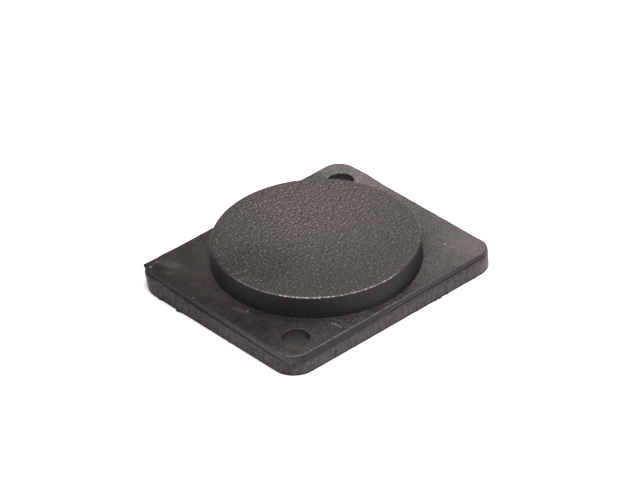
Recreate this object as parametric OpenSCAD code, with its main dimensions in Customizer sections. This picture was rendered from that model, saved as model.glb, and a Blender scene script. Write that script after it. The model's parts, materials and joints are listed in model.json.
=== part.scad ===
// Blank cover plate for a round panel cut-out, held by two screws in opposite corners.
// It is one moulding: a rectangular flange, a raised round face and a cored-out back.
// The back of the flange lies on z = 0, its long side runs along Y and the face looks up.
// Lengths are millimetres and angles are degrees.

/* [Flange] */
// Width of the flange, along X
flange_width = 26; // [25:0.5:32]
// Length of the flange, along Y
flange_length = 31; // [29:0.5:40]
// Thickness of the flange
flange_t = 2.5; // [2:0.1:4]
// Radius of the flange's upright corners, below the parting line
corner_r = 2.8; // [2.2:0.1:3]
// Draft of the flange's wall, which leans in on its way up
wall_draft_angle = 1.5; // [0:0.5:4]
// Round along the flange's bottom edge
bottom_edge_r = 0.1; // [0.05:0.05:0.3]

/* [Land above the parting line] */
// Height of the land from the parting line to the flange's top face
land_h = 0.6; // [0.4:0.1:1]
// Width of the ledge that the two mould halves leave at the parting line
ledge_w = 0.2; // [0.05:0.05:0.3]
// Corner radius of the land
land_corner_r = 2.2; // [1.8:0.1:2.6]
// Round along the land's top edge
top_edge_r = 0.25; // [0.1:0.05:0.35]

/* [Raised face] */
// Diameter of the raised face where it meets the flange
face_d = 23.8; // [22:0.1:24]
// Height of the raised face above the flange
face_h = 2.7; // [2:0.1:4]
// Draft of the raised face's side
face_draft_angle = 3.5; // [0:0.5:6]
// Round along the rim of the raised face
face_edge_r = 0.35; // [0.1:0.05:0.6]

/* [Fixing holes] */
// Diameter of each fixing hole, clear of a 3 mm screw
hole_d = 3.1; // [2.5:0.1:3.2]
// Distance between the two holes along X
hole_pitch_x = 19; // [18.5:0.5:20]
// Distance between the two holes along Y
hole_pitch_y = 24; // [23.5:0.5:25]

/* [Cored-out back] */
// Wall left behind the raised face, and around it
face_wall = 2.5; // [1.5:0.1:3]
// Draft of the core's side, which opens towards the back
core_draft_angle = 2; // [0:0.5:5]
// Fillet between the core's side and its floor
core_fillet_r = 0.8; // [0.3:0.1:1.2]

/* [Hidden] */
$fn = 96;
plastic = [0.24, 0.23, 0.23];

// The flange is widest where the round along its bottom edge runs into the leaning wall
wall_foot_in = bottom_edge_r * (1 - cos(wall_draft_angle));
wall_foot_z = bottom_edge_r * (1 + sin(wall_draft_angle));

// What the draft, and then the ledge too, take off each side of the flange
parting_z = flange_t - land_h;
wall_lean = wall_foot_in + (parting_z - wall_foot_z) * tan(wall_draft_angle);
land_w = flange_width - 2 * (wall_lean + ledge_w);
land_l = flange_length - 2 * (wall_lean + ledge_w);

// Heights and radii of the raised face and of the core behind it
face_r = face_d / 2;
face_z = flange_t + face_h;
core_depth = face_z - face_wall;
core_mouth_r = face_r - face_wall;

// How far a cut runs past the surface that it opens
past = 1;

// Half of a section, from its middle line out to a wall that leans in by lean degrees.
// The wall starts at radius r on the bottom, and ends in a true arc of radius edge at height h.
module leaning_section(r, h, lean, edge) {
    arc_r = r - (h - edge) * tan(lean) - edge / cos(lean);
    arc_z = h - edge;
    union() {
        polygon([
            [0, 0],
            [r, 0],
            [arc_r + edge * cos(lean), arc_z + edge * sin(lean)],
            [arc_r, h],
            [0, h]
        ]);
        translate([arc_r, arc_z]) circle(r = edge);
    }
}

// The flange's wall below the parting line, which runs out of the round along its bottom edge
module wall_section(r) {
    arc_r = r - bottom_edge_r;
    union() {
        polygon([
            [0, 0],
            [arc_r, 0],
            [r - wall_foot_in, wall_foot_z],
            [r - wall_lean, parting_z],
            [0, parting_z]
        ]);
        translate([arc_r, bottom_edge_r]) circle(r = bottom_edge_r);
    }
}

// The land's wall, upright, with its top edge rounded
module land_section(r) {
    leaning_section(r, land_h, 0, top_edge_r);
}

// Carries a section round a rectangle of size w by l with corner radius r.
// Children: the section for a corner, then the section across the width and across the length.
module carried_round(w, l, r) {
    side_x = w - 2 * r;
    side_y = l - 2 * r;
    for (mx = [0, 1], my = [0, 1])
        mirror([mx, 0, 0])
            mirror([0, my, 0])
                translate([side_x / 2, side_y / 2, 0])
                    rotate_extrude(angle = 90) children(0);
    for (mx = [0, 1])
        mirror([mx, 0, 0])
            rotate([90, 0, 0])
                linear_extrude(height = side_y, center = true) children(1);
    for (my = [0, 1])
        mirror([0, my, 0])
            rotate([90, 0, 90])
                linear_extrude(height = side_x, center = true) children(2);
}

module flange() {
    carried_round(flange_width, flange_length, corner_r) {
        wall_section(corner_r);
        wall_section(flange_width / 2);
        wall_section(flange_length / 2);
    }
    translate([0, 0, parting_z])
        carried_round(land_w, land_l, land_corner_r) {
            land_section(land_corner_r);
            land_section(land_w / 2);
            land_section(land_l / 2);
        }
}

module raised_face() {
    translate([0, 0, flange_t])
        rotate_extrude() leaning_section(face_r, face_h, face_draft_angle, face_edge_r);
}

// The hollow behind the raised face keeps the wall even, so that the face moulds flat
module core() {
    rotate_extrude()
        leaning_section(core_mouth_r, core_depth, core_draft_angle, core_fillet_r);
    translate([0, 0, -past]) cylinder(h = past, r = core_mouth_r);
}

module fixing_holes() {
    for (side = [-1, 1])
        translate([side * hole_pitch_x / 2, -side * hole_pitch_y / 2, -past])
            cylinder(h = flange_t + 2 * past, d = hole_d);
}

module cover_plate() {
    color(plastic)
        difference() {
            union() {
                flange();
                raised_face();
            }
            core();
            fixing_holes();
        }
}

cover_plate();
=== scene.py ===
# %% [markdown]
# # A blank cover plate in black plastic
#
# The plate closes an unused round cut-out in a panel. It is one moulding: a rectangular flange with
# two screw holes, and a round face that stands up in the middle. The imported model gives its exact
# size and place. What it lacks is what the eye reads as moulded plastic: soft rims, a parting line
# with a little flash, and a different grain on each surface that the mould was given.
#
# This script makes those. It models the plate once more with fine edges, in the same place, and then
# gives each of its surfaces a finish of its own.

# %% Load the frame
import json
import math

import bmesh
import bpy
from mathutils import Matrix, Vector, noise


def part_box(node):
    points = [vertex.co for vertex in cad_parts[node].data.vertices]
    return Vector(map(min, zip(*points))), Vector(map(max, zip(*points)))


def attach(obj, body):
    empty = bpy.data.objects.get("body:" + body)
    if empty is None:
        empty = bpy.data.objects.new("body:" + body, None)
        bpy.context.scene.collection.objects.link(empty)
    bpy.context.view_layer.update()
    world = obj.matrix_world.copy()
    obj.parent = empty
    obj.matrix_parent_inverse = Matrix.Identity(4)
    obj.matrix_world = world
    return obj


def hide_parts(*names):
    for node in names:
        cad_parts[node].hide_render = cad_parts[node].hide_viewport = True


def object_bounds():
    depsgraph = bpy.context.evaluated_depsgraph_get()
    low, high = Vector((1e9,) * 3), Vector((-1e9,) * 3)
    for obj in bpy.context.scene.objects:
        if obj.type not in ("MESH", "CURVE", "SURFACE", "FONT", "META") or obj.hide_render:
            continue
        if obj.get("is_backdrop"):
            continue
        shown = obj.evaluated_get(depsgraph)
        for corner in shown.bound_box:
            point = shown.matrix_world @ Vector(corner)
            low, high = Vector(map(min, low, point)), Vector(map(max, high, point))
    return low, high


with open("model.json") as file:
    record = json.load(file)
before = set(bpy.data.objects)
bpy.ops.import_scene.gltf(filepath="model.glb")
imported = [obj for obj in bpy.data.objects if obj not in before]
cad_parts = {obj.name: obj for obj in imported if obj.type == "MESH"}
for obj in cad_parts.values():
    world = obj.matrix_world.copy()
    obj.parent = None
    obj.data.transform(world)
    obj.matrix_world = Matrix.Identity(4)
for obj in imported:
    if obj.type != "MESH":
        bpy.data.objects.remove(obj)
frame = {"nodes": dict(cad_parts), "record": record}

cad_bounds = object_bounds()
mounts = {mount["name"]: mount for mount in frame["record"]["mounts"]}
print("nodes:", sorted(frame["nodes"]), "mounts:", sorted(mounts))

# %% [markdown]
# ## Sizes
#
# Everything below is drawn in millimetres, because a plate of 26 by 31 is easier to think about than
# one of 0.026 by 0.031, and because Blender's operators weld and fill more surely at that scale. The
# finished mesh is shrunk to metres in one step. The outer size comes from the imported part's box, and
# the holes and the flange's thickness come from its mounts, so the looks follow the part.

# %% Sizes of the plate, in millimetres
MM = 0.001
low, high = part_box("cover_plate")
flange_width = (high.x - low.x) / MM
flange_length = (high.y - low.y) / MM
face_z = high.z / MM
flange_t = mounts["flange_front"]["pos_m"][2] / MM
hole_r = mounts["near_hole"]["dims"]["r_mm"]
hole_places = [[value / MM for value in mounts[name]["pos_m"]] for name in ("near_hole", "far_hole")]

corner_r = 2.8
wall_lean = 0.05
bottom_edge_r = 0.1
shoulder_r = 0.08

land_h = 0.6
ledge_w = 0.2
land_corner_r = 2.2
top_edge_r = 0.2
parting_z = flange_t - land_h

face_r = 11.9
face_lean = 0.165
face_edge_r = 0.2

face_wall = 2.5
core_r = face_r - face_wall
core_z = face_z - face_wall
core_lean = 0.09
core_fillet_r = 0.8

print(f"flange {flange_width:.2f} x {flange_length:.2f} x {flange_t:.2f}, face at {face_z:.2f} mm")

# %% [markdown]
# ## Camera
#
# The photograph is a product shot with a long lens: the far side of the plate is hardly smaller than
# the near one. So the camera stands half a metre away and looks through a lens of about 260 mm, down
# onto the corner that is nearest. It is turned a little about its own axis, as the one in the
# photograph was.

# %% Camera
CAMERA_AZIMUTH = math.radians(48.77)
CAMERA_ELEVATION = math.radians(34.52)
CAMERA_ROLL = math.radians(-2.48)
CAMERA_DISTANCE = 0.5205
CAMERA_LENS = 261.8
CAMERA_AIM = Vector((-1.374, 1.809, 3.237)) * MM
scene = bpy.context.scene


def add_camera():
    level = Vector((math.sin(CAMERA_AZIMUTH), -math.cos(CAMERA_AZIMUTH), 0))
    back = level * math.cos(CAMERA_ELEVATION) + Vector((0, 0, math.sin(CAMERA_ELEVATION)))
    data = bpy.data.cameras.new("camera")
    data.lens = CAMERA_LENS
    data.sensor_width = 36
    data.clip_start = 0.01
    camera = bpy.data.objects.new("camera", data)
    scene.collection.objects.link(camera)
    turn = back.to_track_quat("Z", "Y").to_matrix().to_4x4() @ Matrix.Rotation(CAMERA_ROLL, 4, "Z")
    camera.matrix_world = Matrix.Translation(CAMERA_AIM + back * CAMERA_DISTANCE) @ turn
    return camera


scene.camera = add_camera()
print("camera at", [round(value, 4) for value in scene.camera.location])

# %% [markdown]
# ## Drawing a section
#
# A moulded plate is easiest to understand from its section: the outline you would see if you sawed
# through it. A section is a chain of edges, and this pen draws one from a single vertex. A straight
# stretch is that vertex extruded, and a round is that vertex spun about the centre of its arc, so no
# point has to be worked out by hand.

# %% A pen that draws sections


class Pen:
    """Draws a chain of edges in the XZ plane: x is the distance from the axis, z is the height."""

    def __init__(self, bm, x, z):
        self.bm = bm
        self.tip = bm.verts.new((x, 0, z))

    def line(self, x, z, steps=1):
        start = self.tip.co.copy()
        for step in range(1, steps + 1):
            made = bmesh.ops.extrude_vert_indiv(self.bm, verts=[self.tip])
            self.tip = made["verts"][0]
            self.tip.co = start.lerp(Vector((x, 0, z)), step / steps)
        return self

    def arc(self, x, z, degrees, steps):
        made = bmesh.ops.spin(
            self.bm, geom=[self.tip], cent=(x, 0, z), axis=(0, 1, 0),
            angle=math.radians(degrees), steps=steps, use_duplicate=False)
        self.tip = next(item for item in made["geom_last"] if isinstance(item, bmesh.types.BMVert))
        return self


# %% [markdown]
# ## Carrying a section round
#
# Two moves make the whole plate. Round things, such as the face, the core and the holes, are a
# section spun about an axis. The flange's edge is a section that goes round a rectangle: it is spun
# a quarter turn at each corner and slid along each side. A spin with no angle and a small step is
# such a slide, so one operator does both. Each sweep is made in a mesh of its own, where it is quick,
# and then joined to the plate.

# %% Spin and carry
WELD = 0.0005


def spin_round(bm, steps):
    section = list(bm.verts) + list(bm.edges)
    bmesh.ops.spin(
        bm, geom=section, cent=(0, 0, 0), axis=(0, 0, 1), angle=math.tau, steps=steps,
        use_merge=True, use_duplicate=False)
    bmesh.ops.remove_doubles(bm, verts=bm.verts, dist=WELD)


def carry_round(bm, half_x, half_y, corner_steps, side_steps):
    """Takes a section round a rectangle. half_x and half_y give the centres of its corners' arcs."""
    bmesh.ops.translate(bm, verts=bm.verts, vec=(half_x, half_y, 0))
    tip = list(bm.verts) + list(bm.edges)
    corners = [(half_x, half_y), (-half_x, half_y), (-half_x, -half_y), (half_x, -half_y)]
    slides = [(-2 * half_x, 0), (0, -2 * half_y), (2 * half_x, 0), (0, 2 * half_y)]
    for corner, slide, steps in zip(corners, slides, side_steps * 2):
        made = bmesh.ops.spin(
            bm, geom=tip, cent=(*corner, 0), axis=(0, 0, 1), angle=math.pi / 2, steps=corner_steps,
            use_duplicate=False)
        made = bmesh.ops.spin(
            bm, geom=made["geom_last"], cent=(0, 0, 0), axis=(0, 0, 1), angle=0,
            dvec=(slide[0] / steps, slide[1] / steps, 0), steps=steps, use_duplicate=False)
        tip = made["geom_last"]
    bmesh.ops.remove_doubles(bm, verts=bm.verts, dist=WELD)


def join_sweep(plate_bm, sweep_bm, x=0, y=0):
    bmesh.ops.translate(sweep_bm, verts=sweep_bm.verts, vec=(x, y, 0))
    mesh = bpy.data.meshes.new("sweep")
    sweep_bm.to_mesh(mesh)
    sweep_bm.free()
    plate_bm.from_mesh(mesh)
    bpy.data.meshes.remove(mesh)


def open_edges_at(bm, z):
    return [e for e in bm.edges if e.is_boundary and all(abs(v.co.z - z) < WELD for v in e.verts)]


# %% [markdown]
# ## The flange's edge
#
# The mould opens just under the flange's front, and the two halves never meet quite true. That is
# why the edge has two stretches: a short land on top, set in by a fifth of a millimetre, and the wall
# under it, with a ledge between them. The ledge is not flat on the real plate. It dips next to the
# land, and that dip is the thin dark line which runs round the edge. So the land's section goes on
# down behind the wall's rounded shoulder, as deep as the groove, and the wall's section comes up from
# there. Both are carried round with the same number of steps, so one bridge joins them.

# %% Sections of the land and the wall
RING = 0.06
CORNER_STEPS = 32
EDGE_PITCH = 0.15
GROOVE = 0.25
SIDE_STEPS = [round((side - 2 * corner_r) / EDGE_PITCH) for side in (flange_width, flange_length)]
land_half = [side / 2 - wall_lean - ledge_w - land_corner_r for side in (flange_width, flange_length)]
wall_half = [side / 2 - corner_r for side in (flange_width, flange_length)]


def draw_land(bm):
    pen = Pen(bm, land_corner_r - top_edge_r - RING, flange_t)
    pen.line(land_corner_r - top_edge_r, flange_t)
    pen.arc(land_corner_r - top_edge_r, flange_t - top_edge_r, 90, 10)
    pen.line(land_corner_r, parting_z, 4)
    pen.line(land_corner_r, parting_z - GROOVE)


def draw_wall(bm):
    arc_x = corner_r - wall_lean - shoulder_r
    arc_z = parting_z - shoulder_r
    pen = Pen(bm, arc_x, parting_z - GROOVE)
    pen.line(arc_x, parting_z)
    pen.arc(arc_x, arc_z, 90, 7)
    pen.line(corner_r, bottom_edge_r, 14)
    pen.arc(corner_r - bottom_edge_r, bottom_edge_r, 90, 4)
    pen.line(corner_r - bottom_edge_r - RING, 0)


def swept_edge(draw, half):
    bm = bmesh.new()
    draw(bm)
    carry_round(bm, *half, CORNER_STEPS, SIDE_STEPS)
    return bm


land_bm = swept_edge(draw_land, land_half)
wall_bm = swept_edge(draw_wall, wall_half)
print("land", len(land_bm.faces), "faces; wall", len(wall_bm.faces), "faces")

# %% [markdown]
# ## A parting line that isn't level
#
# On the real plate the land is about a third of a millimetre high at its back and nearly one at its
# front corner: the two halves of the mould closed a little askew. Along the front half of the right
# side the ledge disappears, and the land slopes straight down to the wall. The groove is shut at the
# left, a hair wide along the front and open along the right. All three are made by moving the swept
# vertices, by an amount that depends only on where they are. A boolean cut could do the same, but it
# would leave slivers along a line that is this thin.

# %% Askew parting line


def smooth_step(value, start, end):
    t = min(max((value - start) / (end - start), 0), 1)
    return t * t * (3 - 2 * t)


def outward(co, half):
    """Which way is out at a point of the flange's edge, square to its outline"""
    nearest = Vector((min(max(co.x, -half[0]), half[0]), min(max(co.y, -half[1]), half[1])))
    return (co.xy - nearest).normalized()


def land_depth(co):
    across, along = co.x / flange_width * 2, co.y / flange_length * 2
    depth = 0.28 + 0.32 * across - 0.40 * along + 0.08 * (across ** 2 - along ** 2)
    depth += 0.25 * smooth_step(across, 0.5, 1) * smooth_step(along, 0, 0.75)
    depth -= 0.2 * smooth_step(-across, 0.35, 0.75) * smooth_step(-along, 0.8, 0.95)
    wobble = noise.noise(Vector((co.x, co.y, 0)) * 0.9) * 0.05 + noise.noise(Vector((co.x, co.y, 5)) * 4) * 0.02
    return min(max(depth, 0.26), 0.86) + wobble


def ledge_share(co):
    """How much of the ledge is there: all of it, or none along the front half of the right side"""
    on_right = smooth_step(co.x, flange_width / 2 - 1.6, flange_width / 2 - 0.5)
    return 1 - on_right * (1 - smooth_step(co.y, -3.0, 0.5))


def groove_share(co):
    """How open the line is: shut at the left corner, a hair along the front, and open on the right"""
    return smooth_step(co.x, -8, 4) * 0.15 + smooth_step(co.x, 11, 13) * 0.85


for bm in (land_bm, wall_bm):
    for v in bm.verts:
        if abs(v.co.z - parting_z + GROOVE) < WELD:
            v.co.z += GROOVE * (1 - groove_share(v.co))
for v in land_bm.verts:
    fall = min(max((flange_t - top_edge_r - v.co.z) / (land_h - top_edge_r), 0), 1)
    v.co.z -= (land_depth(v.co) - land_h) * fall
    v.co.xy += outward(v.co, land_half) * ledge_w * 0.8 * (1 - ledge_share(v.co)) * fall
for v in wall_bm.verts:
    v.co.z -= (land_depth(v.co) - land_h) * min(v.co.z / parting_z, 1)

# %% [markdown]
# ## Flash, burrs and a hasty corner
#
# Where the halves of a mould meet, a little plastic creeps out. It is cut off, but never quite: at the
# left corner a burr was left standing, and along the bottom edge there are crumbs of flash. The sides
# aren't quite straight either, because a plate this thin swells and shrinks unevenly as it cools. Each
# of these is a small push on the vertices round one place of the edge. The far corners are pushed
# furthest, by up to 0.15 mm.

# %% Push the edge out in a few places
CORNER = Vector((-11.92, -14.66))
BURR = Vector((-12.42, -14.22))
BURR_REACH = 0.5
bulges = [(-8.6, 15.4, 0.15, 3.6), (12.0, 14.8, 0.12, 2.6), (-12.9, -11.6, 0.09, 2.0), (-12.2, 14.5, 0.05, 1.8)]
flash_crumbs = [
    (-9.05, -15.5, 0.14), (-6.0, -15.5, 0.24), (-5.6, -15.5, 0.12), (13, 5.9, 0.1), (13, 6.5, 0.14),
    (13, 7.7, 0.1), (13, 11.9, 0.08), (13, 3.0, 0.05), (2.5, -15.5, 0.05)]


def nearness(co, place, reach):
    return 1 - smooth_step((co.xy - Vector(place)).length, 0, reach)


for v in land_bm.verts:
    way = outward(v.co, land_half)
    high_up = smooth_step(v.co.z, flange_t - 0.45, flange_t - 0.1)
    v.co.xy += way * 0.30 * nearness(v.co, BURR, BURR_REACH) * high_up
    v.co.xy += way * 0.24 * nearness(v.co, BURR, 1.7)
    v.co.xy += way * 0.12 * nearness(v.co, CORNER, 0.8) * (1 - high_up)
    v.co.xy += way * 0.02 * noise.noise(v.co * 1.3)
for v in wall_bm.verts:
    way = outward(v.co, wall_half)
    foot = 1 - smooth_step(v.co.z, 0.05, 0.35)
    lean = v.co.z / parting_z
    v.co.xy += way * (0.30 * lean - 0.14) * nearness(v.co, CORNER, 2.8)
    v.co.xy += way * 0.015 * noise.noise(v.co * 1.3)
    for x, y, size in flash_crumbs:
        v.co.xy += way * size * nearness(v.co, (x, y), size + 0.15) * foot
for bm, half in ((land_bm, land_half), (wall_bm, wall_half)):
    for v in bm.verts:
        push = sum(size * nearness(v.co, (x, y), reach) for x, y, size, reach in bulges)
        v.co.xy += outward(v.co, half) * push

# %% Join the land to the wall
plate_bm = bmesh.new()
join_sweep(plate_bm, land_bm)
join_sweep(plate_bm, wall_bm)
ledge_edges = [e for e in plate_bm.edges if e.is_boundary and 0.5 < e.verts[0].co.z < flange_t - 0.1]
bmesh.ops.bridge_loops(plate_bm, edges=ledge_edges)
print("the ledge took", len(ledge_edges), "open edges")

# %% [markdown]
# ## The face, the core and the holes
#
# The face, the hollow behind it and the two holes are all round, so each is one section and one spin.
# The face has a tiny fillet at its foot, a wall that leans in by three and a half degrees so that it
# leaves the mould, and a rounded rim. Where a section reaches the axis, its last points are merged
# into one.
#
# Two things are less than perfect, as on the real plate. The pins of the mould that made the holes
# stood a little off true, and the face's rim has five nicks from handling.

# %% Round sections
FACE_STEPS = 720
CORE_STEPS = 96
HOLE_STEPS = 72
HOLE_EDGE_R = 0.03
FOOT_FILLET_R = 0.03
pin_offsets = [(0.15, 0.05), (0.22, 0.23)]
rim_nicks = [(-90.9, -0.05), (-97.1, 0.07), (-103.3, 0.04), (-39.9, -0.04), (-35.1, -0.04)]


def draw_face(bm):
    lean = math.atan2(face_lean, face_z - flange_t)
    arc_x = face_r - (face_z - face_edge_r - flange_t) * math.tan(lean) - face_edge_r / math.cos(lean)
    arc_z = face_z - face_edge_r
    pen = Pen(bm, face_r + FOOT_FILLET_R + RING, flange_t)
    pen.line(face_r + FOOT_FILLET_R, flange_t)
    pen.arc(face_r + FOOT_FILLET_R, flange_t + FOOT_FILLET_R, 90 - math.degrees(lean), 4)
    pen.line(arc_x + face_edge_r * math.cos(lean), arc_z + face_edge_r * math.sin(lean), 8)
    pen.arc(arc_x, arc_z, math.degrees(lean) - 90, 12)
    pen.line(arc_x - RING, face_z)
    pen.line(0, face_z)


def draw_core(bm):
    lean = math.atan2(core_lean, core_z)
    arc_x = core_r - (core_z - core_fillet_r) * math.tan(lean) - core_fillet_r / math.cos(lean)
    arc_z = core_z - core_fillet_r
    pen = Pen(bm, core_r + RING, 0)
    pen.line(core_r, 0)
    pen.line(arc_x + core_fillet_r * math.cos(lean), arc_z + core_fillet_r * math.sin(lean), 3)
    pen.arc(arc_x, arc_z, math.degrees(lean) - 90, 8)
    pen.line(0, core_z)


def draw_hole(bm):
    edge_x = hole_r + HOLE_EDGE_R
    pen = Pen(bm, edge_x + RING, flange_t)
    pen.line(edge_x, flange_t)
    pen.arc(edge_x, flange_t - HOLE_EDGE_R, -90, 3)
    pen.line(hole_r, HOLE_EDGE_R, 3)
    pen.arc(edge_x, HOLE_EDGE_R, -90, 3)
    pen.line(edge_x + RING, 0)


def spun(draw, steps):
    bm = bmesh.new()
    draw(bm)
    spin_round(bm, steps)
    return bm


face_bm = spun(draw_face, FACE_STEPS)
for angle, size in rim_nicks:
    angle = math.radians(angle)
    place = Vector((math.cos(angle), math.sin(angle))) * (face_r - 0.1)
    for v in face_bm.verts:
        near = nearness(v.co, place, 0.3) * smooth_step(v.co.z, face_z - 0.4, face_z - 0.1)
        v.co.z += size * near
        v.co.xy += place.normalized() * size * near
join_sweep(plate_bm, face_bm)
join_sweep(plate_bm, spun(draw_core, CORE_STEPS))
for place, offset in zip(hole_places, pin_offsets):
    place[0] += offset[0]
    place[1] += offset[1]
    join_sweep(plate_bm, spun(draw_hole, HOLE_STEPS), place[0], place[1])

# %% Fill the flat front and the flat back
for z in (flange_t, 0):
    bmesh.ops.triangle_fill(plate_bm, edges=open_edges_at(plate_bm, z), use_beauty=True)
bmesh.ops.recalc_face_normals(plate_bm, faces=plate_bm.faces)
print("open edges left:", sum(e.is_boundary for e in plate_bm.edges), "faces:", len(plate_bm.faces))

# %% [markdown]
# ## Which surface is which
#
# A mould is not polished all over. Here the face was spark-eroded, which leaves a coarse grain, the
# flange's front is finer, the wall of the flange is rough and streaked from the mould's parting, and
# the wall of the face and the bores are nearly smooth. Rims carry painted highlights, paler than what
# lies beside them, and the foot of the flange is painted darker as shade. One material could hold all
# of this behind masks, but a border between two surfaces would then blur. Instead, each face of the
# mesh is given one of ten finishes by where it lies.

# %% Sort the faces by surface
SURFACES = [
    "face_grain", "face_rim", "rising_wall", "flange_front", "flange_rim", "flange_land", "flange_wall",
    "flange_foot", "bore", "cored_back"]


def surface_of(face):
    centre = face.calc_center_median()
    reach = math.hypot(centre.x, centre.y)
    if centre.z > face_z - 0.005:
        return "face_grain"
    if centre.z > face_z - face_edge_r * 0.5:
        return "face_rim"
    if any(math.hypot(centre.x - place[0], centre.y - place[1]) < hole_r + 0.03 for place in hole_places):
        return "bore"
    if reach < face_r + FOOT_FILLET_R and centre.z > flange_t + 0.03:
        return "rising_wall"
    if centre.z > flange_t - 0.003:
        return "flange_front"
    if centre.z > flange_t - top_edge_r * 0.35:
        return "flange_rim"
    if centre.z < 0.02 or reach < core_r + 0.05:
        return "cored_back"
    if centre.z < 0.22:
        return "flange_foot"
    return "flange_land" if centre.z > flange_t - land_depth(centre) - 0.05 else "flange_wall"


for face in plate_bm.faces:
    face.material_index = SURFACES.index(surface_of(face))
    face.smooth = True

# %% Turn the mesh into a piece
SHARP = math.radians(40)


def finished_piece(bm, name):
    for edge in bm.edges:
        edge.smooth = len(edge.link_faces) == 2 and edge.calc_face_angle() < SHARP
    bmesh.ops.scale(bm, vec=(MM, MM, MM), verts=bm.verts)
    mesh = bpy.data.meshes.new(name)
    bm.to_mesh(mesh)
    bm.free()
    piece = bpy.data.objects.new(name, mesh)
    scene.collection.objects.link(piece)
    return piece


plate = finished_piece(plate_bm, "moulded_plate")
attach(plate, "root")
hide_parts("cover_plate")
print(plate.name, "has", len(plate.data.polygons), "polygons")

# %% [markdown]
# ## Nodes written as sums
#
# A finish is a small calculation on noise. Written as node calls it is hard to read, so a socket is
# wrapped in a class that knows plus, minus and times. Each such sum then adds its own Math node.
# Everything that isn't arithmetic is added by one method of the finish, which takes the node's type,
# its settings and its inputs.
#
# A finish changes two things over its surface. It lightens or darkens the colour, where the plastic
# is rubbed or chalky and where light or shade is painted, and it raises a relief. How rough and how
# shiny the plastic is stays the same all over, and is set once.

# %% A finish and its values


class Value:
    """A number that varies over the surface"""

    def __init__(self, finish, socket):
        self.finish = finish
        self.socket = socket

    def math(self, operation, *operands):
        node = self.finish.add("ShaderNodeMath", {"operation": operation}, dict(enumerate(operands)))
        return Value(self.finish, node.outputs[0])

    def __add__(self, other):
        return self.math("ADD", self, other)

    def __sub__(self, other):
        return self.math("SUBTRACT", self, other)

    def __rsub__(self, other):
        return self.math("SUBTRACT", other, self)

    def __mul__(self, other):
        return self.math("MULTIPLY", self, other)

    def __truediv__(self, other):
        return self.math("DIVIDE", self, other)

    def __pow__(self, other):
        return self.math("POWER", self, other)

    def from_to(self, start, end):
        """0 below start, 1 above end, and smooth between them"""
        node = self.finish.add(
            "ShaderNodeMapRange", {"interpolation_type": "SMOOTHSTEP"},
            {"Value": self, "From Min": start, "From Max": end})
        return Value(self.finish, node.outputs["Result"])

    __radd__ = __add__
    __rmul__ = __mul__


class Finish:
    """A moulded plastic whose colour and relief can follow a pattern in millimetres; its roughness is one number
    """

    def __init__(self, name, colour, roughness, shine=0.5):
        self.material = bpy.data.materials.new(name)
        self.material.use_nodes = True
        self.nodes = self.material.node_tree.nodes
        self.links = self.material.node_tree.links
        self.shader = self.nodes["Principled BSDF"]
        self.colour = colour
        self.shader.inputs["Base Color"].default_value = (*colour, 1)
        self.shader.inputs["Roughness"].default_value = roughness
        self.shader.inputs["Specular IOR Level"].default_value = shine
        place = self.add("ShaderNodeTexCoord", {}, {}).outputs["Object"]
        self.place = self.in_mm(place, (1 / MM, 1 / MM, 1 / MM))

    def add(self, kind, settings, inputs):
        node = self.nodes.new(kind)
        for name, setting in settings.items():
            setattr(node, name, setting)
        for name, value in inputs.items():
            if isinstance(value, Value):
                value = value.socket
            if isinstance(value, bpy.types.NodeSocket):
                self.links.new(value, node.inputs[name])
            else:
                node.inputs[name].default_value = value
        return node

    def in_mm(self, place, scale):
        return self.add("ShaderNodeVectorMath", {"operation": "MULTIPLY"}, {0: place, 1: scale}).outputs[0]

    def noise(self, size, detail=2, squeeze=(1, 1, 1), rough=0.5):
        """Soft noise about 0, with blotches of the given size in millimetres"""
        place = self.in_mm(self.place, tuple(value / size for value in squeeze))
        node = self.add(
            "ShaderNodeTexNoise", {},
            {"Vector": place, "Scale": 1, "Detail": detail, "Roughness": rough})
        return Value(self, node.outputs["Fac"]) - 0.5

    def domes(self, size):
        """Round bumps of uneven height, side by side, as spark erosion leaves them"""
        place = self.in_mm(self.place, (1 / size, 1 / size, 1 / size))
        cells = self.add("ShaderNodeTexVoronoi", {"voronoi_dimensions": "2D"}, {"Vector": place, "Scale": 1})
        chance = self.add("ShaderNodeTexWhiteNoise", {}, {"Vector": cells.outputs["Position"]})
        height = Value(self, chance.outputs["Value"]) * 0.7 + 0.3
        return (0.5 - Value(self, cells.outputs["Distance"]) ** 2) * height

    def axis(self, name):
        return Value(self, self.add("ShaderNodeSeparateXYZ", {}, {0: self.place}).outputs[name])

    def far_from(self, x, y, z=0):
        node = self.add("ShaderNodeVectorMath", {"operation": "DISTANCE"}, {0: self.place, 1: (x, y, z)})
        return Value(self, node.outputs["Value"])

    def blot(self, x, y, z, size, turn=0):
        """1 in the middle of an ellipsoid with these half sizes, 0 at its edge"""
        place = self.add(
            "ShaderNodeMapping", {"vector_type": "TEXTURE"},
            {"Vector": self.place, "Location": (x, y, z), "Rotation": (0, 0, math.radians(turn)), "Scale": size})
        far = self.add("ShaderNodeVectorMath", {"operation": "LENGTH"}, {0: place.outputs[0]})
        return 1 - Value(self, far.outputs["Value"]).from_to(0.4, 1)

    def lighten(self, amount):
        """Multiplies the colour by 1 + amount"""
        node = self.add(
            "ShaderNodeVectorMath", {"operation": "SCALE"}, {0: self.colour, "Scale": amount + 1})
        self.links.new(node.outputs[0], self.shader.inputs["Base Color"])

    def raise_by(self, height):
        """A relief whose height is in millimetres"""
        bump = self.add("ShaderNodeBump", {}, {"Strength": 1, "Distance": MM, "Height": height})
        self.links.new(bump.outputs["Normal"], self.shader.inputs["Normal"])

    def describe(self):
        print(self.material.name, "has", len(self.nodes), "nodes")
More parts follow.
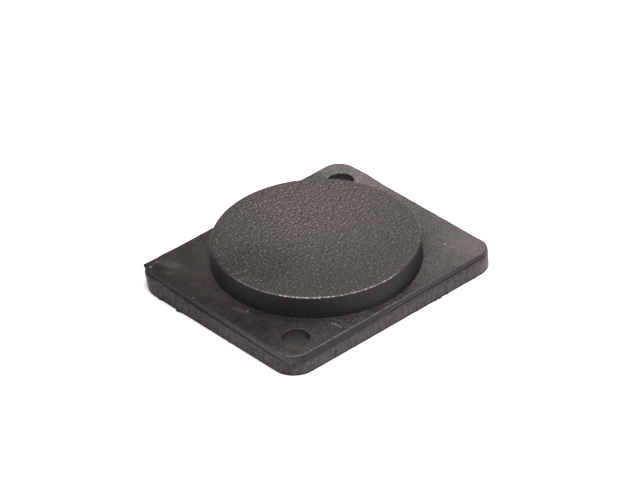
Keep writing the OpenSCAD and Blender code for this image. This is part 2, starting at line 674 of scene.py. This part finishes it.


# %% [markdown]
# ## The face
#
# The face is what people see, so its half of the mould was spark-eroded. That leaves low round bumps
# side by side, each about a third of a millimetre wide. A photograph of such a grain would repeat and
# blur. Here the bumps are the cells of a Voronoi pattern, each with a chance height of its own, and
# the lamps pick out their slopes. The bumps are strongest at the back and flatten out towards the rim,
# where the mould was polished.
#
# Relief alone looks too even. The colour carries a painted sheen, brightest at the back left, and
# painted shade towards the front. Pale flecks painted on the tops of the bumps stand in for glints,
# most where the sheen is painted. A scratch and four specks lie near the front of the rim.

# %% Grain of the face
face_grain = Finish("face_grain", (0.0255, 0.0233, 0.0225), 0.34)
# Where the face's painted sheen lies: brightest at the back left, fading towards the front and right.
painted_sheen_spot = 1 - face_grain.far_from(-6, 4, face_z).from_to(1, 17)
inside = 1 - face_grain.far_from(0, 0, face_z).from_to(face_r - 0.9, face_r - 0.35) * 0.8
patchy = face_grain.noise(1.3, detail=1) * 1.2 + 1
grain = face_grain.domes(0.36) * 0.12 + face_grain.noise(0.25) * 0.06
face_grain.raise_by(grain * inside * patchy * (painted_sheen_spot * 0.9 + 0.38))

# %% Painted sheen, glints and scratches on the face
# Painted shade over the front of the face.
painted_shade_front = face_grain.blot(-1, -7.5, face_z, (6, 5, 1), 40)
# Pale flecks painted on the tops of the bumps as glints, most where the sheen is painted.
painted_glints = face_grain.noise(0.2, detail=1).from_to(0.09, 0.27)
scratches = (
    face_grain.blot(0.25, -11.0, face_z, (0.75, 0.07, 1), 71)
    + face_grain.blot(-0.05, -11.65, face_z, (0.2, 0.1, 1), 71) * 3
    + face_grain.blot(-0.7, -9.8, face_z, (0.1, 0.13, 1)) * 2
    + face_grain.blot(-2.08, -8.86, face_z, (0.1, 0.1, 1))
    + face_grain.blot(-1.24, -11.3, face_z, (0.12, 0.1, 1)))
# The colour carries a painted sheen at the back left and painted shade in front, beside painted glints and the
# real scratches and specks.
face_grain.lighten(
    painted_sheen_spot - 0.32 - painted_shade_front * 0.35 + painted_glints * (painted_sheen_spot * 4 + 5) + scratches * 3)
face_grain.describe()

# %% [markdown]
# ## The rim and the wall of the face
#
# Along the front, and more faintly at the left, the face's rim carries a painted highlight: a pale
# line in its colour, broken up by noise. The wall below it touches nothing. It keeps the smooth skin
# that it left the mould with, and it is the darkest surface of the plate, because it reflects only
# the flange. Its colour is painted lighter at the left end, as light, and darker towards the back,
# as shade.

# %% Painted highlight on the rim of the face
face_rim = Finish("face_rim", (0.024, 0.0225, 0.022), 0.36, shine=0.2)
# Where the rim's painted highlight lies: along the front, and more faintly at the left.
rim_highlight_front = 1 - face_rim.far_from(face_r * 0.87, face_r * -0.5, face_z).from_to(5.8, 8.6)
rim_highlight_left = 1 - face_rim.far_from(face_r * 0.34, face_r * -0.94, face_z).from_to(4.5, 6)
rim_highlight_breaks = face_rim.noise(0.3).from_to(-0.08, 0.15) * 0.8 + 0.2
face_rim.raise_by(face_rim.noise(0.35) * 0.03)
# The rim's colour is lightened into a painted highlight, broken up by noise.
face_rim.lighten((rim_highlight_front + rim_highlight_left * 0.45) * rim_highlight_breaks * 9.5)
face_rim.describe()

# %% Smooth wall of the face
rising_wall = Finish("rising_wall", (0.016, 0.0147, 0.0152), 0.5, shine=0.17)
faint = rising_wall.noise(0.3, detail=3)
# The left end of the wall is painted lighter, as light, and the back part darker, as shade.
painted_light_left_end = 1 - rising_wall.axis("X").from_to(-9, -3)
painted_shade_back_part = rising_wall.axis("Y").from_to(-2.5, 2)
rising_wall.raise_by(faint * 0.04)
rising_wall.lighten(faint * 0.8 + painted_light_left_end * 2.4 - painted_shade_back_part * 0.3)
rising_wall.describe()

# %% [markdown]
# ## The front of the flange
#
# The flange is finer than the face. Its colour carries painted light and shade: painted shade, which
# makes the front browner and darker and darkens the right edge, and a painted sheen beside the face on
# its left, at the right and at the far corner. Plates travel loose in a bag, so this one has scuffs
# and short scratches near its corners, and a few specks of plastic dust; by the burr at the left
# corner, one pale spot is a painted glint. A scuff is an ellipse that is placed and turned by a
# Mapping node, and the noise inside it breaks up its outline.

# %% Painted light and shade on the flange's front
flange_front = Finish("flange_front", (0.0205, 0.0194, 0.0189), 0.38)
# Masks for painted shade along the front edge, the right edge and the front, and for painted light beside the
# face, to the right and at the far end.
painted_shade_near_edge = 1 - flange_front.axis("Y").from_to(-15, -12.5)
painted_shade_right_edge = flange_front.axis("X").from_to(10.5, 12.7) * flange_front.axis("Y").from_to(2, 6)
painted_light_by_face = 1 - flange_front.far_from(0, 0, flange_t).from_to(face_r, face_r + 2.2)
painted_light_by_face = painted_light_by_face * (1 - flange_front.axis("X").from_to(-1, 5))
front_part = (1 - flange_front.axis("Y").from_to(-13, 2)) * (1 - flange_front.axis("X").from_to(6, 12) * 0.7)
painted_sheen_right = flange_front.axis("X").from_to(5, 11) * flange_front.axis("Y").from_to(0, 9)
painted_sheen_far_end = flange_front.axis("Y").from_to(9, 14) * (3.2 - flange_front.axis("X").from_to(-9, 2) * 2)
# Painted light and shade in the colour: sheen to the right, beside the face and at the far end; shade in front
# and along the right edge.
painted_light_and_shade = painted_light_by_face * 0.6 - painted_shade_near_edge * 0.4 - front_part * 0.5 + painted_sheen_right * 0.9 - painted_shade_right_edge * 0.6 + painted_sheen_far_end

# %% Scuffs, dust and a painted glint by the burr on the flange
scuffs = (
    flange_front.blot(-10.6, -12.4, flange_t, (1.7, 0.9, 1), 20) * 0.5
    + flange_front.blot(-12.0, -13.3, flange_t, (1.1, 0.12, 1), 87) * 1.4
    + flange_front.blot(-9.6, -13.65, flange_t, (1.0, 0.08, 1), 27) * 1.5
    + flange_front.blot(11.1, -7.3, flange_t, (1.1, 0.1, 1), 8) * 2.6
    + flange_front.blot(10.6, -6.6, flange_t, (0.8, 0.09, 1), 20) * 1.6
    + flange_front.blot(1.5, -12.9, flange_t, (1.8, 0.5, 1), 10) * 0.5)
crumbs_and_burr_glint = (
    flange_front.blot(8.38, 11.79, flange_t, (0.15, 0.15, 1)) * 2
    # This pale spot by the burr is a painted glint; the other spots are real dust.
    + flange_front.blot(-11.8, -14.3, flange_t, (0.22, 0.13, 1), 70) * 1.5
    + flange_front.blot(-3.9, -14.9, flange_t, (0.12, 0.12, 1))
    + flange_front.blot(2.2, -12.3, flange_t, (0.16, 0.1, 1)))

# %% Grain of the flange's front
mottle = flange_front.noise(0.2, detail=2)
cloudy = flange_front.noise(1.5)
rough_end = flange_front.axis("Y").from_to(9, 13) * (1 - flange_front.axis("X").from_to(-6, 0))
pale_dots = flange_front.noise(0.2, detail=1).from_to(0.06, 0.26)
flange_front.raise_by(
    flange_front.domes(0.28) * (rough_end * 0.09 + 0.015) + mottle * (0.12 - front_part * 0.07)
    + crumbs_and_burr_glint * 0.05)
flange_front.lighten(
    painted_light_and_shade + mottle * (3.5 - front_part * 2.2) + cloudy * 1.1 + pale_dots * (rough_end * 3 + 1 - front_part)
    + scuffs * (mottle * 4 + 1.6) + crumbs_and_burr_glint * 8)
flange_front.describe()

# %% [markdown]
# ## The edge of the flange
#
# Four finishes go round the edge. The rim carries a thin painted highlight, brightest at the front
# right. The land below it is smooth, since it comes from the same half of the mould as the front; its
# colour is painted paler at the front and right, as light, and darker just under the rim, as shade.
# The wall comes from the other half, which was worn: it is streaked upwards, the way the plate was
# pushed out, and pitted. Its colour is painted paler at the right and the back and darker at the left,
# as light and shade. Its foot lies in its own shadow, which is painted into its colour as a darker
# grey. Steel that is worn like this leaves stretched noise, so the streaks are noise squeezed to a
# third of its length along the height.

# %% Rim and land of the flange
flange_rim = Finish("flange_rim", (0.026, 0.024, 0.0235), 0.36, shine=0.3)
# The rim's front right carries a painted highlight, broken up by noise.
painted_highlight_front_right = flange_rim.axis("X").from_to(9.5, 12) * (1 - flange_rim.axis("Y").from_to(-4, 6) * 0.75)
broken = flange_rim.noise(0.3).from_to(-0.06, 0.16) * 0.9 + 0.1
flange_rim.raise_by(flange_rim.noise(0.35) * 0.03)
flange_rim.lighten(painted_highlight_front_right * broken * 3)
flange_rim.describe()

flange_land = Finish("flange_land", (0.022, 0.0202, 0.021), 0.45, shine=0.15)
# The land is painted paler at the right and the front, as light, and darker just under the rim, as shade.
painted_light_land_right = flange_land.axis("X").from_to(11.5, 12.5) * flange_land.axis("Y").from_to(-3, 1)
painted_light_land_front = flange_land.axis("X").from_to(-4, 8) * (1 - flange_land.axis("Y").from_to(-15, -13.5))
painted_shade_under_rim = flange_land.axis("Z").from_to(flange_t - 0.45, flange_t - 0.3)
flange_land.raise_by(flange_land.noise(0.3) * 0.03)
flange_land.lighten(
    flange_land.noise(0.4) * 0.6 + painted_light_land_right * (1.35 - painted_shade_under_rim * 1.15)
    + painted_light_land_front * (1.35 - painted_shade_under_rim * 0.5))
flange_land.describe()

# %% Wall and foot of the flange
flange_wall = Finish("flange_wall", (0.033, 0.0292, 0.0303), 0.45, shine=0.16)
streaks = flange_wall.noise(0.5, squeeze=(1, 1, 0.35), detail=2)
pits = flange_wall.noise(0.3, detail=3, rough=0.6)
# The wall is painted darker at the left and paler at the right and the back, as light and shade; at the right it
# is painted darker higher up, as shade.
painted_shade_wall_left = 1 - flange_wall.axis("X").from_to(-4, 3)
painted_light_wall_right = flange_wall.axis("X").from_to(11.5, 12.5)
painted_light_wall_back = flange_wall.axis("Y").from_to(10, 14)
painted_shade_high_up = flange_wall.axis("Z").from_to(1.2, 1.9)
pale_speck = flange_wall.blot(-8.77, -15.5, 2.2, (0.16, 1, 0.12))
flange_wall.raise_by(streaks * 0.09 + pits * 0.15)
flange_wall.lighten(
    (streaks + pits) * 2.6 + pale_speck * 6 - painted_shade_wall_left * 0.45 + painted_light_wall_right * (0.45 - painted_shade_high_up * 0.7)
    + painted_light_wall_back * 0.5)
flange_wall.describe()

# The foot's colour is darker than the wall's: painted shade, where the foot lies in its own shadow.
flange_foot = Finish("flange_foot", (0.018, 0.0165, 0.0172), 0.5, shine=0.1)
worn = flange_foot.noise(0.3, detail=3)
flange_foot.raise_by(worn * 0.1)
flange_foot.lighten(worn * 1.5)
flange_foot.describe()

# %% [markdown]
# ## Where nobody looks
#
# The bores were made by turned steel pins, and they keep faint rings. The back was only milled, so it
# is dull and slightly uneven. The photograph doesn't show it, but a part is turned over sooner or
# later, and then a bare back would look unfinished.

# %% Bores and back
bore = Finish("bore", (0.022, 0.021, 0.0214), 0.4, shine=0.6)
rings = bore.noise(0.3, squeeze=(1, 1, 0.3))
bore.raise_by(rings * 0.02)
bore.lighten(rings * 0.4)
bore.describe()

cored_back = Finish("cored_back", (0.028, 0.0265, 0.026), 0.5)
milled = cored_back.noise(0.3, detail=3)
cored_back.raise_by(milled * 0.04)
cored_back.lighten(milled * 0.8)
cored_back.describe()

# %% Give the plate its finishes
for name in SURFACES:
    plate.data.materials.append(bpy.data.materials[name])
print(plate.name, "has", len(plate.data.materials), "finishes")

# %% [markdown]
# ## Floor
#
# The plate was photographed on white paper that is lit so well that its edge can't be seen. One big
# pale grid does that. It lies two hundredths of a millimetre below the plate, since two surfaces at
# the very same height would flicker. The paper matters for the plate as well: the walls are black, so
# most of the light on them is the paper's reflection.

# %% Floor
FLOOR_HALF = 3
FLOOR_GAP = 0.00002
floor_mesh = bpy.data.meshes.new("floor")
floor_bm = bmesh.new()
bmesh.ops.create_grid(
    floor_bm, x_segments=1, y_segments=1, size=FLOOR_HALF, matrix=Matrix.Translation((0, 0, -FLOOR_GAP)))
floor_bm.to_mesh(floor_mesh)
floor_bm.free()
floor = bpy.data.objects.new("floor", floor_mesh)
scene.collection.objects.link(floor)
paper = bpy.data.materials.new("paper")
paper.use_nodes = True
paper_shader = paper.node_tree.nodes["Principled BSDF"]
paper_shader.inputs["Base Color"].default_value = (0.93, 0.92, 0.96, 1)
paper_shader.inputs["Roughness"].default_value = 0.9
paper_shader.inputs["Specular IOR Level"].default_value = 0.2
floor_mesh.materials.append(paper)
floor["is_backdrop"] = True
print("floor", 2 * FLOOR_HALF, "m square")

# %% [markdown]
# ## Light
#
# Three softboxes light the paper and fill the shadows, and three small lamps stand in for a window.
# The last of these hangs almost straight overhead, and it decides how the grain looks. From the
# side, it drew long worms across the face and lit the wrong end of the rim. From above, each bump
# flashes on the slope that is tilted towards the camera, so the grain turns into short bright flecks
# and the rim lights up in front.
#
# The Standard view shows colours as they are worked out, without a film curve, which would grey the
# white paper.

# %% Light
WORLD_STRENGTH = 0.05
scene.view_settings.view_transform = "Standard"
world = bpy.data.worlds.new("studio")
world.use_nodes = True
world.node_tree.nodes["Background"].inputs["Color"].default_value = (1, 1, 1, 1)
world.node_tree.nodes["Background"].inputs["Strength"].default_value = WORLD_STRENGTH
scene.world = world


def add_softbox(name, plan, rise, distance, size, watts, colour):
    """A square lamp that faces the plate. plan is measured from +X towards +Y, rise from the floor."""
    data = bpy.data.lights.new(name, "AREA")
    data.shape = "SQUARE"
    data.size = size
    data.energy = watts
    data.color = colour
    lamp = bpy.data.objects.new(name, data)
    scene.collection.objects.link(lamp)
    plan, rise = math.radians(plan), math.radians(rise)
    way = Vector((math.cos(plan) * math.cos(rise), math.sin(plan) * math.cos(rise), math.sin(rise)))
    lamp.matrix_world = Matrix.Translation(way * distance) @ way.to_track_quat("Z", "Y").to_matrix().to_4x4()
    lamp.visible_camera = False
    return lamp


add_softbox("right_softbox", 35, 45, 0.4, 0.25, 1.2, (1, 0.97, 0.99))
add_softbox("left_softbox", 229, 45, 0.4, 0.25, 0.4, (1, 0.97, 0.99))
add_softbox("front_softbox", -41, 60, 0.4, 0.25, 1.3, (1, 0.97, 0.99))
add_softbox("near_window", 100, 35, 0.08, 0.05, 0.012, (1, 0.86, 0.81))
add_softbox("window", 128, 35, 0.18, 0.12, 0.03, (1, 0.86, 0.81))
add_softbox("top_window", 139, 82, 0.2, 0.12, 0.27, (1, 0.86, 0.81))

# %% [markdown]
# ## The plate's size once more
#
# Its box is measured once more and printed next to the box of the imported model, so that the two
# can be compared.

# %% Measure the plate's box once more
visual_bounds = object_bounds()
sizes = {
    "cad": [list(corner) for corner in cad_bounds],
    "visual": [list(corner) for corner in visual_bounds]}
for name, (lowest, highest) in sizes.items():
    print(name, "box in mm:", [round((b - a) / MM, 2) for a, b in zip(lowest, highest)])
